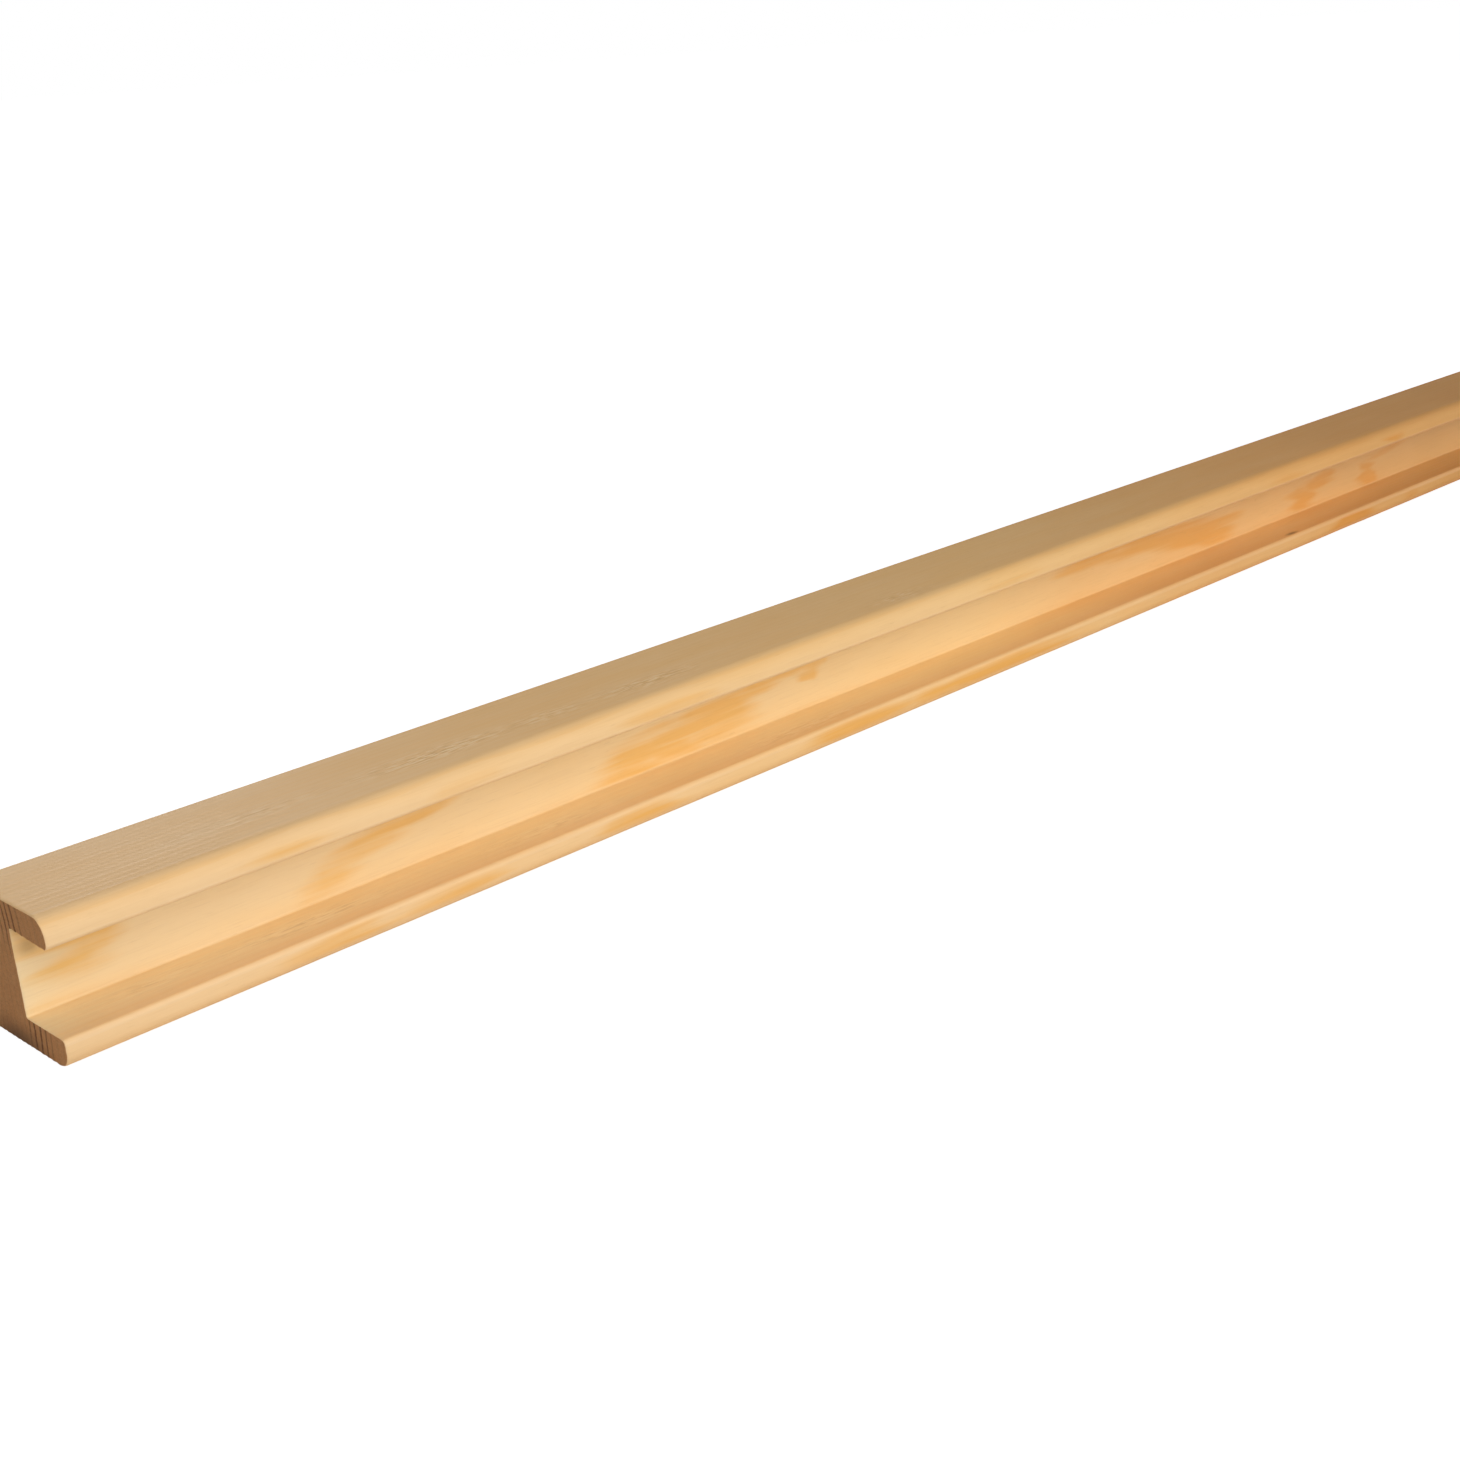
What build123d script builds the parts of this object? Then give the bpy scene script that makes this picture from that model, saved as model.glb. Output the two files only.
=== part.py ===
"""Grooved pine moulding: one length of planed softwood, square in section, with a groove along its front.

The moulding lies on its base. +X runs along the length, +Y points to the flat back, +Z is up, and the
groove opens towards -Y. The origin is on the base, at the middle of the length and of the depth.
"""

import os

from build123d import *

# Planed square stock, in millimetres
stock_length = 1000.0
section_height = 28.0
section_depth = 28.0

# Groove in the front face, between an upper lip and a lower flange; the lip thickens towards its tip
lip_root_thickness = 5.1
lip_tip_thickness = 5.7
flange_thickness = 5.8
groove_depth = 13.5
groove_corner_radius = 0.5

# Edges along the length: rounded noses outside, eased edges at the groove's mouth and at the back
lip_nose_radius = 3.6
flange_nose_radius = 3.2
lip_edge_radius = 1.2
flange_edge_radius = 1.0
back_edge_radius = 0.5

# A nose takes at most this share of the front that the eased edge leaves of its wall
nose_limit_share = 0.95
lip_nose = min(lip_nose_radius, nose_limit_share * (lip_tip_thickness - lip_edge_radius))
flange_nose = min(flange_nose_radius, nose_limit_share * (flange_thickness - flange_edge_radius))

# Lines of the section: across the depth, then up the height
front = -section_depth / 2
back = section_depth / 2
groove_wall = front + groove_depth
flange_top = flange_thickness
lip_tip_underside = section_height - lip_tip_thickness
lip_root_underside = section_height - lip_root_thickness

# Corners of the section in order, each with the radius that the cutters leave on it
section_corners = (
    ((front, 0), flange_nose),
    ((back, 0), back_edge_radius),
    ((back, section_height), back_edge_radius),
    ((front, section_height), lip_nose),
    ((front, lip_tip_underside), lip_edge_radius),
    ((groove_wall, lip_root_underside), groove_corner_radius),
    ((groove_wall, flange_top), groove_corner_radius),
    ((front, flange_top), flange_edge_radius),
)
corner_points = [point for point, radius in section_corners]
corner_radii = [radius for point, radius in section_corners]

# The section stands across the length and is drawn out both ways from the middle
with BuildPart() as moulding:
    with BuildSketch(Plane.YZ) as section:
        with BuildLine() as outline:
            FilletPolyline(*corner_points, radius=corner_radii, close=True)
        make_face()
    extrude(amount=stock_length / 2, both=True)

moulding.part.label = "moulding"

os.makedirs("parts", exist_ok=True)
export_step(moulding.part, "parts/moulding.step")
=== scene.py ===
"""Grooved pine moulding: the looks of one planed length of pine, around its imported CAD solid.

The piece is one closed skin. Its section is carried along the length, and a sawn face closes each end. The
annual rings are worked out once, as a ring number at every point of the wood, and both the relief and the
colours follow that number.
"""

import logging
import math
from dataclasses import dataclass, field
from enum import Enum, IntEnum

import bpy
import numpy as np
from mathutils import Matrix, Vector

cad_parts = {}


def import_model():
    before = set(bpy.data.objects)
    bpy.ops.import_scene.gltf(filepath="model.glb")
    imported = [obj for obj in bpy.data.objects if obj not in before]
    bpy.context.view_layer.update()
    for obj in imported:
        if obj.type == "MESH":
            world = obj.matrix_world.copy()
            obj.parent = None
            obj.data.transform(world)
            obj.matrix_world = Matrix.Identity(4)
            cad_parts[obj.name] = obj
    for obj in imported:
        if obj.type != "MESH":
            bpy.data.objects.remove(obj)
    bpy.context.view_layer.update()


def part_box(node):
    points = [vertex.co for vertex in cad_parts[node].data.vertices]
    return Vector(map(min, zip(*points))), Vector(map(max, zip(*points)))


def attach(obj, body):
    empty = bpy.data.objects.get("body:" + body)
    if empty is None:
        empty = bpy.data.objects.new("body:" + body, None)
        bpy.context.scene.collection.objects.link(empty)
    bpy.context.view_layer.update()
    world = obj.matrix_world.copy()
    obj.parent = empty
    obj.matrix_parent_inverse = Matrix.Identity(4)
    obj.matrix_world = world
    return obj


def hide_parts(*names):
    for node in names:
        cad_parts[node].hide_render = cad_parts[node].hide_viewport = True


LOG = logging.getLogger("moulding")
MM = 0.001
RING_NUMBER = "ring_number"
FLAT_SAWN = "flat_sawn"
CORNER_SHADE_AND_DIRT = "corner_shade_and_dirt"
TAN_AND_PAINTED_LIGHT = "tan_and_painted_light"
TORN = "torn_grain"
FIBRE_BROWN = "#A8723C"
SAWN_BROWN = "#7F5029"

Tree = bpy.types.NodeTree
Socket = bpy.types.NodeSocket


class Cut(IntEnum):
    """How a face of the wood was cut. The value is its material's place on the mesh."""

    PLANED = 0
    GROOVED = 1
    SAWN = 2


class Corner(IntEnum):
    """The section's corners, in order round the outline, with the wood on the left."""

    FLANGE_NOSE = 0
    BACK_FOOT = 1
    BACK_HEAD = 2
    LIP_NOSE = 3
    LIP_EDGE = 4
    GROOVE_HEAD = 5
    GROOVE_FOOT = 6
    FLANGE_EDGE = 7


class Face(Enum):
    """The tangential faces with flame figure. The value is the depth behind the front, in millimetres."""

    FRONT = 0.0
    WALL = 13.5
    BACK = 28.0


def linear(hex_colour: str) -> tuple[float, float, float, float]:
    """Turns an sRGB hex colour into linear light.

    Args:
        hex_colour: a hash sign and six hex digits.

    Returns:
        Red, green, blue and an opaque alpha.
    """
    shares = [int(hex_colour[place:place + 2], 16) / 255 for place in (1, 3, 5)]
    light = [c / 12.92 if c <= 0.04045 else ((c + 0.055) / 1.055) ** 2.4 for c in shares]
    return (*light, 1.0)


def add_node(tree: Tree, kind: str, inputs: dict | None = None, **settings) -> bpy.types.Node:
    """Adds one node to a tree, with its settings and links.

    Args:
        tree: the material's or the world's node tree.
        kind: the node's type, without ShaderNode in front.
        inputs: for each socket's name or number, a constant or the output that feeds it.
        settings: the node's own properties.

    Returns:
        The new node.
    """
    node = tree.nodes.new("ShaderNode" + kind)
    for name, value in settings.items():
        setattr(node, name, value)
    for key, value in (inputs or {}).items():
        if isinstance(value, Socket):
            tree.links.new(value, node.inputs[key])
        else:
            node.inputs[key].default_value = value
    return node


def empty_material(name: str) -> tuple[bpy.types.Material, Tree]:
    """Starts a material that has no nodes yet.

    Args:
        name: what it is called.

    Returns:
        The material and its tree.
    """
    material = bpy.data.materials.new(name)
    material.use_nodes = True
    material.node_tree.nodes.clear()
    return material, material.node_tree


def smooth_step(low: float, high: float, value: np.ndarray) -> np.ndarray:
    """Rises from 0 at low to 1 at high along 3 t squared minus 2 t cubed.

    Args:
        low: where the rise starts.
        high: where the rise ends.
        value: the numbers to map.

    Returns:
        Numbers from 0 to 1, in the shape of value.
    """
    share = np.clip((value - low) / (high - low), 0.0, 1.0)
    return share * share * (3.0 - 2.0 * share)


@dataclass(frozen=True)
class WaveNoise:
    """Smooth random field: a sum of plane waves of random heading and phase, scaled to a spread of 1."""

    seed: int
    lengths: tuple[float, float, float]
    waves: int = 28

    def at(self, points: np.ndarray) -> np.ndarray:
        """Reads the field.

        Args:
            points: places in metres, in the last axis.

        Returns:
            The field's value at each place.
        """
        draw = np.random.default_rng(self.seed)
        heading = draw.normal(size=(self.waves, 3)) / (np.asarray(self.lengths) * MM)
        phase = draw.uniform(0.0, 2.0 * math.pi, self.waves)
        return np.cos(points @ heading.T * math.pi + phase).sum(axis=-1) / math.sqrt(self.waves / 2)

    def share(self, points: np.ndarray) -> np.ndarray:
        """Reads the field as a share, which is 0 and 1 at two spreads below and above its middle."""
        return 0.5 + 0.25 * np.clip(self.at(points), -2.0, 2.0)


@dataclass(frozen=True)
class Flame:
    """A bulge of the rings, where a planed face cuts into orange latewood. Sizes in millimetres."""

    along: float
    up: float
    half_length: float
    half_height: float
    lean_deg: float = 0.0
    rise: float = 0.5
    face: Face = Face.WALL
    flat_top: float = 1.5

    def at(self, along: np.ndarray, depth: np.ndarray, up: np.ndarray, reach: float) -> np.ndarray:
        """Gives the bulge: a flat-topped bell over a leaning ellipse, which fades away from its face.

        Args:
            along: distance from the near end, in millimetres.
            depth: distance behind the front, in millimetres.
            up: height above the base, in millimetres.
            reach: depth over which the bulge fades, in millimetres.

        Returns:
            The bulge in rings.
        """
        lean = math.radians(self.lean_deg)
        run = (along - self.along) * math.cos(lean) + (up - self.up) * math.sin(lean)
        rise = (up - self.up) * math.cos(lean) - (along - self.along) * math.sin(lean)
        spread = (run / self.half_length) ** 2 + (rise / self.half_height) ** 2
        return self.rise * np.exp(-spread ** self.flat_top - ((depth - self.face.value) / reach) ** 2)


WALL_FLAMES = (
    Flame(9.5, 15.8, 12.0, 7.0, rise=0.57),
    Flame(64.0, 10.8, 7.0, 3.8, 4.0, 0.4),
    Flame(71.0, 13.4, 13.0, 3.6, 8.0, 0.42),
    Flame(82.0, 16.0, 13.0, 3.0, 3.0, 0.5),
    Flame(146.0, 11.6, 15.0, 4.2, 3.0, 0.5),
    Flame(157.0, 8.8, 10.0, 3.0, 0.0, 0.5),
    Flame(166.0, 13.4, 20.0, 3.9, 3.0, 0.52),
    Flame(172.0, 10.6, 14.0, 3.6, 0.0, 0.44),
    Flame(183.0, 15.4, 14.0, 2.3, 0.0, 0.5),
    Flame(196.0, 16.4, 10.0, 1.5, 0.0, 0.5),
    Flame(204.0, 14.5, 5.5, 2.8, 0.0, 0.56),
    Flame(321.0, 15.4, 22.0, 2.8, -2.0, 0.5),
    Flame(344.0, 13.8, 25.0, 4.0, -3.0, 0.52),
    Flame(368.0, 12.4, 26.0, 4.8, -3.0, 0.54),
    Flame(382.0, 9.8, 14.0, 3.6, -2.0, 0.5),
    Flame(445.0, 13.6, 11.0, 2.8, 2.0, 0.52),
    Flame(433.0, 10.5, 9.0, 4.2, 0.0, 0.5),
    Flame(478.0, 10.5, 5.5, 6.0, 0.0, 0.54),
    Flame(491.0, 15.6, 12.0, 1.8, 4.0, 0.48),
    Flame(596.0, 10.6, 17.0, 3.2, 4.0, 0.5),
    Flame(620.0, 13.4, 20.0, 3.4, 5.0, 0.5),
    Flame(702.0, 10.5, 22.0, 3.4, -4.0, 0.44),
    Flame(788.0, 12.4, 24.0, 4.2, 3.0, 0.5),
    Flame(818.0, 15.4, 16.0, 2.2, 2.0, 0.48),
    Flame(900.0, 11.0, 24.0, 4.0, -5.0, 0.46),
    Flame(968.0, 13.5, 16.0, 3.8, 6.0, 0.48),
)
LIP_FLAMES = tuple(
    Flame(along, 24.5, half_length, 6.0, 0.0, rise, Face.FRONT)
    for along, half_length, rise in (
        (50.0, 15.0, 0.42), (90.0, 12.0, 0.36), (142.0, 18.0, 0.33), (267.0, 14.0, 0.2), (400.0, 16.0, 0.3),
        (467.0, 10.0, 0.42), (498.0, 9.0, 0.2), (590.0, 14.0, 0.25), (682.0, 10.0, 0.22), (771.0, 17.0, 0.26),
        (856.0, 11.0, 0.22), (944.0, 13.0, 0.24),
    )
)
FLANGE_FLAMES = tuple(
    Flame(along, 3.0, half_length, 6.0, 0.0, rise, Face.FRONT)
    for along, half_length, rise in (
        (60.0, 14.0, 0.36), (84.0, 14.0, 0.32), (137.0, 11.0, 0.38), (205.0, 17.0, 0.4), (230.0, 12.0, 0.34),
        (262.0, 34.0, 0.43), (320.0, 16.0, 0.2), (443.0, 14.0, 0.48), (480.0, 6.0, 0.28), (566.0, 15.0, 0.3),
        (655.0, 10.0, 0.24), (742.0, 18.0, 0.3), (838.0, 9.0, 0.24), (921.0, 15.0, 0.28),
    )
)


@dataclass
class GrowthRings:
    """The tree's rings through the stick. The pith runs along the length, some way behind the back."""

    near_end: float
    front: float
    pith_depth: float = 102.0
    pith_height: float = 14.0
    ring_width: float = 1.85
    widening: float = 0.0054
    wall_phase: float = 0.27
    flame_reach: float = 5.0
    taper_start: float = 2.0
    back_taper: float = 3.2
    flames: tuple[Flame, ...] = WALL_FLAMES + LIP_FLAMES + FLANGE_FLAMES
    uneven_rings: float = 0.10
    drift_rings: float = 0.05
    ragged_along: float = 2.6
    ragged_up: float = 0.45
    late_rise: tuple[float, float] = (0.4, 0.8)
    late_stop: tuple[float, float] = (0.95, 1.0)
    years: WaveNoise = WaveNoise(10, (1000.0, 7.0, 1000.0))
    drift: WaveNoise = WaveNoise(11, (210.0, 30.0, 30.0))
    feather: WaveNoise = WaveNoise(12, (26.0, 5.0, 4.0))

    def number(self, points: np.ndarray) -> np.ndarray:
        """Counts rings outwards from the groove's wall, with the part of a year after the point.

        The distance from the pith, less that of the wall, is divided by the ring's width. A slow drift, the
        taper of the trunk towards the back, and the flames are added to it.

        Args:
            points: places in metres, in the last axis.

        Returns:
            The ring number at each place.
        """
        along = (points[..., 0] - self.near_end) / MM
        depth = (points[..., 1] - self.front) / MM
        up = points[..., 2] / MM
        radius = np.hypot(self.pith_depth - depth, up - self.pith_height)
        outward = radius - (self.pith_depth - Face.WALL.value)
        rings = self.wall_phase + outward / self.ring_width * (1.0 - self.widening * outward)
        from_pith = np.stack([0.0 * radius, radius * MM, 0.0 * radius], axis=-1)
        rings += self.uneven_rings * self.years.at(from_pith)
        rings += self.drift_rings * self.drift.at(points)
        behind = smooth_step(Face.WALL.value + self.taper_start, Face.BACK.value, depth)
        rings += behind * self.back_taper * along * MM
        ragged = self.feather.at(points)
        along = along + self.ragged_along * ragged
        up = up + self.ragged_up * ragged
        bulge = np.zeros_like(rings)
        for flame in self.flames:
            bulge = np.maximum(bulge, flame.at(along, depth, up, self.flame_reach))
        return rings + bulge

    def latewood(self, number: np.ndarray) -> np.ndarray:
        """Gives the share of dense latewood: a slow rise over the season and a sharp stop at the year's end.

        Args:
            number: ring numbers.

        Returns:
            From 0 in earlywood to 1 in latewood.
        """
        season = number - np.floor(number)
        return smooth_step(*self.late_rise, season) * (1.0 - smooth_step(*self.late_stop, season))


@dataclass(frozen=True)
class TornStreak:
    """A slanting streak along a level face where the cutter lifted fibres out. Sizes in millimetres.

    Each patch has its middle along the length, its half length and its strength.
    """

    height: float
    depth: float
    slant: float
    half_width: float
    patches: tuple[tuple[float, float, float], ...]

    def at(self, points: np.ndarray, near_end: float, front: float) -> np.ndarray:
        """Gives the streak: bells across it and off its face, times the strongest patch, a bell along it.

        Args:
            points: places in metres, in the last axis.
            near_end: X of the near end.
            front: Y of the front.

        Returns:
            From 0 on sound wood to 1 where it is torn most.
        """
        along = (points[..., 0] - near_end) / MM
        across = (points[..., 1] - front) / MM - self.depth - self.slant * along
        torn = np.zeros_like(along)
        for middle, half_length, strength in self.patches:
            torn = np.maximum(torn, strength * np.exp(-((along - middle) / half_length) ** 2))
        off = points[..., 2] / MM - self.height
        return torn * np.exp(-(across / self.half_width) ** 2 - off ** 2)


TORN_STREAKS = (
    TornStreak(
        28.0, 14.5, -0.034, 2.6,
        ((48.0, 14.0, 0.5), (90.0, 16.0, 1.0), (118.0, 10.0, 0.6), (146.0, 12.0, 0.8), (228.0, 9.0, 0.5)),
    ),
    TornStreak(
        5.8, 8.5, -0.02, 2.2,
        ((22.0, 10.0, 0.4), (54.0, 16.0, 0.6), (112.0, 14.0, 0.4), (190.0, 20.0, 0.4)),
    ),
)


@dataclass
class MouldingSection:
    """The outline across the length: depth and height in metres, with the front at the lowest depth."""

    front: float
    back: float
    height: float
    lip_root_thickness: float = 5.1 * MM
    lip_tip_thickness: float = 5.7 * MM
    flange_thickness: float = 5.8 * MM
    groove_depth: float = 13.5 * MM
    groove_corner_radius: float = 0.5 * MM
    lip_nose_radius: float = 3.6 * MM
    flange_nose_radius: float = 3.2 * MM
    lip_edge_radius: float = 1.2 * MM
    flange_edge_radius: float = 1.0 * MM
    back_edge_radius: float = 0.5 * MM
    arc_steps: int = 33
    turn_weight: float = 1.3 * MM

    def corners(self) -> tuple[np.ndarray, np.ndarray]:
        """Lists the corners before rounding, in the order of Corner.

        Returns:
            Their places and their radii.
        """
        wall = self.front + self.groove_depth
        lip_root = self.height - self.lip_root_thickness
        lip_tip = self.height - self.lip_tip_thickness
        places = {
            Corner.FLANGE_NOSE: (self.front, 0.0, self.flange_nose_radius),
            Corner.BACK_FOOT: (self.back, 0.0, self.back_edge_radius),
            Corner.BACK_HEAD: (self.back, self.height, self.back_edge_radius),
            Corner.LIP_NOSE: (self.front, self.height, self.lip_nose_radius),
            Corner.LIP_EDGE: (self.front, lip_tip, self.lip_edge_radius),
            Corner.GROOVE_HEAD: (wall, lip_root, self.groove_corner_radius),
            Corner.GROOVE_FOOT: (wall, self.flange_thickness, self.groove_corner_radius),
            Corner.FLANGE_EDGE: (self.front, self.flange_thickness, self.flange_edge_radius),
        }
        table = np.array([places[corner] for corner in Corner])
        return table[:, :2], table[:, 2]

    def outline(self) -> tuple[np.ndarray, np.ndarray]:
        """Draws the closed outline finely: straight edges joined by tangent arcs.

        An arc touches both edges at its radius over the tangent of half the corner's angle, and its middle
        lies on the line that halves that angle. It swings evenly from one touching point to the other. The
        measure along the outline is its length plus a share for each turn, so that small curves get enough
        points.

        Returns:
            The points of all arcs in order, twice round, and the measure at each.
        """
        places, radii = self.corners()
        to_last = np.roll(places, 1, axis=0) - places
        to_next = np.roll(places, -1, axis=0) - places
        to_last /= np.linalg.norm(to_last, axis=1, keepdims=True)
        to_next /= np.linalg.norm(to_next, axis=1, keepdims=True)
        half = np.arccos((to_last * to_next).sum(axis=1, keepdims=True)) / 2
        radius = radii[:, None]
        halving = to_last + to_next
        halving /= np.linalg.norm(halving, axis=1, keepdims=True)
        middle = places + halving * radius / np.sin(half)
        start = places + to_last * radius / np.tan(half) - middle
        end = places + to_next * radius / np.tan(half) - middle
        swing = (math.pi - 2.0 * half)[:, None]
        share = np.linspace(0.0, 1.0, self.arc_steps)[None, :, None]
        spokes = start[:, None] * np.sin((1.0 - share) * swing) + end[:, None] * np.sin(share * swing)
        arcs = middle[:, None] + spokes / np.sin(swing)
        points = np.tile(arcs.reshape(-1, 2), (2, 1))
        turned = np.repeat(swing[:, 0], self.arc_steps, axis=1) / (self.arc_steps - 1)
        turned[:, 0] = 0.0
        steps = np.linalg.norm(np.diff(points, axis=0, prepend=points[:1]), axis=1)
        return points, np.cumsum(steps + self.turn_weight * np.tile(turned.ravel(), 2))

    def side(self, start: Corner, end: Corner, count: int) -> np.ndarray:
        """Divides the outline between the middles of two corners into equal shares of its measure.

        Args:
            start: the corner where the side starts.
            end: the corner where it ends.
            count: how many steps the side has.

        Returns:
            The side's points, both ends included.
        """
        points, measure = self.outline()
        first = start * self.arc_steps + self.arc_steps // 2
        last = end * self.arc_steps + self.arc_steps // 2
        if last < first:
            last += len(Corner) * self.arc_steps
        at = np.linspace(measure[first], measure[last], count + 1)
        return np.stack([np.interp(at, measure, points[:, axis]) for axis in (0, 1)], axis=-1)


@dataclass
class GroovedMoulding:
    """The whole stick: long planed faces round the section, and a sawn face at each end."""

    low: tuple[float, float, float]
    high: tuple[float, float, float]
    name: str = "pine_moulding"
    body_stations: int = 240
    end_stations: tuple[float, ...] = (0.0, 0.15, 0.35, 0.8, 1.6, 2.8)
    round_steps: int = 144
    through_steps: int = 24
    mouth_steps: int = 7
    ring_relief: float = 0.03 * MM
    planing_relief: float = 0.02 * MM
    end_relief: float = 0.10 * MM
    soft_share: float = 0.55
    end_easing: float = 0.10 * MM
    easing_reach: float = 0.25 * MM
    end_fade: float = 2.5 * MM
    corner_shade_and_dirt_width: float = 1.0 * MM
    painted_light_reach: float = 8.0 * MM
    flat_power: int = 9
    sharp_deg: float = 40.0
    bake_rows: int = 3
    bake_gap: float = 5.0 * MM
    plane_waves: WaveNoise = WaveNoise(21, (60.0, 9.0, 9.0))
    end_tear: WaveNoise = WaveNoise(22, (40.0, 0.9, 1.4))
    streaks: tuple[TornStreak, ...] = TORN_STREAKS
    section: MouldingSection = field(init=False)
    rings: GrowthRings = field(init=False)

    def __post_init__(self) -> None:
        """Fits the section and the rings to the CAD solid's box."""
        self.section = MouldingSection(self.low[1], self.high[1], self.high[2])
        self.rings = GrowthRings(self.low[0], self.low[1])

    @property
    def around(self) -> int:
        """Counts the points of the loop."""
        return 2 * (self.round_steps + self.through_steps)

    @property
    def middle(self) -> float:
        """Gives the X of the middle of the length."""
        return (self.low[0] + self.high[0]) / 2

    def stations(self) -> np.ndarray:
        """Places the sections along the length, close together at the ends.

        Returns:
            Their X, from the near end to the far one.
        """
        ends = np.array(self.end_stations) * MM
        inset = 2.0 * ends[-1] - ends[-2]
        body = np.linspace(self.low[0] + inset, self.high[0] - inset, self.body_stations)
        return np.concatenate([self.low[0] + ends, body, self.high[0] - ends[::-1]])

    def loop(self) -> np.ndarray:
        """Joins the four sides of the section into one closed loop, each point once.

        Returns:
            The loop's points: outside, lip front, groove, flange front.
        """
        sides = (
            self.section.side(Corner.FLANGE_NOSE, Corner.LIP_NOSE, self.round_steps),
            self.section.side(Corner.LIP_NOSE, Corner.LIP_EDGE, self.through_steps),
            self.section.side(Corner.LIP_EDGE, Corner.FLANGE_EDGE, self.round_steps),
            self.section.side(Corner.FLANGE_EDGE, Corner.FLANGE_NOSE, self.through_steps),
        )
        return np.concatenate([side[:-1] for side in sides])

    def end_depth(self, depth_height: np.ndarray, x: float) -> np.ndarray:
        """Gives how far a sawn end lies inside the CAD end: soft earlywood and torn fibres are cut deeper.

        Args:
            depth_height: Y and Z in the last axis.
            x: the end's X.

        Returns:
            The distance at each place, never negative.
        """
        points = np.concatenate([np.full((*depth_height.shape[:-1], 1), x), depth_height], axis=-1)
        soft = 1.0 - self.rings.latewood(self.rings.number(points))
        torn = self.end_tear.share(points)
        return self.end_relief * (self.soft_share * soft + (1.0 - self.soft_share) * torn)

    def sides(self) -> tuple[np.ndarray, np.ndarray, np.ndarray]:
        """Carries the loop along the length and cuts the relief into it.

        Each point is moved along the section's outward normal: in by the ring relief where the wood is soft,
        in by the planer's slow waves, and in by the easing at the very ends.

        Returns:
            Points on a grid of station and loop place, the outward normals of the loop, and the ring numbers.
        """
        loop = self.loop()
        ahead = np.roll(loop, -1, axis=0) - np.roll(loop, 1, axis=0)
        normal = np.stack([ahead[:, 1], -ahead[:, 0]], axis=-1)
        normal /= np.linalg.norm(normal, axis=1, keepdims=True)
        x = self.stations()
        plain = np.empty((len(x), len(loop), 3))
        plain[..., 0] = x[:, None]
        plain[..., 1:] = loop[None]
        number = self.rings.number(plain)
        waves = self.plane_waves.share(plain)
        inwards = self.ring_relief * (1.0 - self.rings.latewood(number)) + self.planing_relief * waves
        from_end = np.minimum(x - self.low[0], self.high[0] - x)
        inwards += self.end_easing * np.clip(1.0 - from_end / self.easing_reach, 0.0, 1.0)[:, None]
        points = plain.copy()
        points[..., 1:] -= inwards[..., None] * normal[None]
        fade = np.clip(1.0 - from_end / self.end_fade, 0.0, 1.0)[:, None]
        near = self.end_depth(loop, self.low[0])[None]
        far = self.end_depth(loop, self.high[0])[None]
        points[..., 0] += np.where(x[:, None] < self.middle, near, -far) * fade
        return points, normal, number

    def end_face(self, ring: np.ndarray, x: float) -> np.ndarray:
        """Fills an end: a Coons patch between the groove, the outside and the two fronts.

        The patch is the straight blend from groove to outside, plus the straight blend from lip to flange,
        less the blend of the four corners that both of them hold.

        Args:
            ring: the loop's points at that end, with X first.
            x: the end's X.

        Returns:
            The inner points of the patch, on a grid of steps from lip to flange and from groove to outside.
        """
        index = self.end_index(0)
        flat = ring[:, 1:]
        groove, outside = flat[index[:, 0]][:, None], flat[index[:, -1]][:, None]
        lip, flange = flat[index[0]][None], flat[index[-1]][None]
        u = np.linspace(0.0, 1.0, self.round_steps + 1)[:, None, None]
        v = np.linspace(0.0, 1.0, self.through_steps + 1)[None, :, None]
        across = (1.0 - v) * groove + v * outside
        down = (1.0 - u) * lip + u * flange
        corners = (1.0 - u) * ((1.0 - v) * groove[:1] + v * outside[:1])
        corners = corners + u * ((1.0 - v) * groove[-1:] + v * outside[-1:])
        patch = (across + down - corners)[1:-1, 1:-1]
        inside = 1.0 if x < self.middle else -1.0
        depth = self.end_depth(patch, x)[..., None]
        return np.concatenate([x + inside * depth, patch], axis=-1)

    def end_index(self, start: int) -> np.ndarray:
        """Numbers the patch of an end face: its rim takes the loop's points, and its inside is left at -1.

        Args:
            start: the number of the loop's first point.

        Returns:
            The numbers on a grid of steps from lip to flange and from groove to outside.
        """
        lip_nose = self.round_steps
        lip_edge = lip_nose + self.through_steps
        flange_edge = lip_edge + self.round_steps
        index = np.full((self.round_steps + 1, self.through_steps + 1), -1)
        index[:, 0] = np.arange(lip_edge, flange_edge + 1)
        index[:, -1] = np.arange(lip_nose, -1, -1)
        index[0, :] = np.arange(lip_edge, lip_nose - 1, -1)
        index[-1, :] = np.arange(flange_edge, self.around + 1) % self.around
        return np.where(index >= 0, index + start, index)

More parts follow.
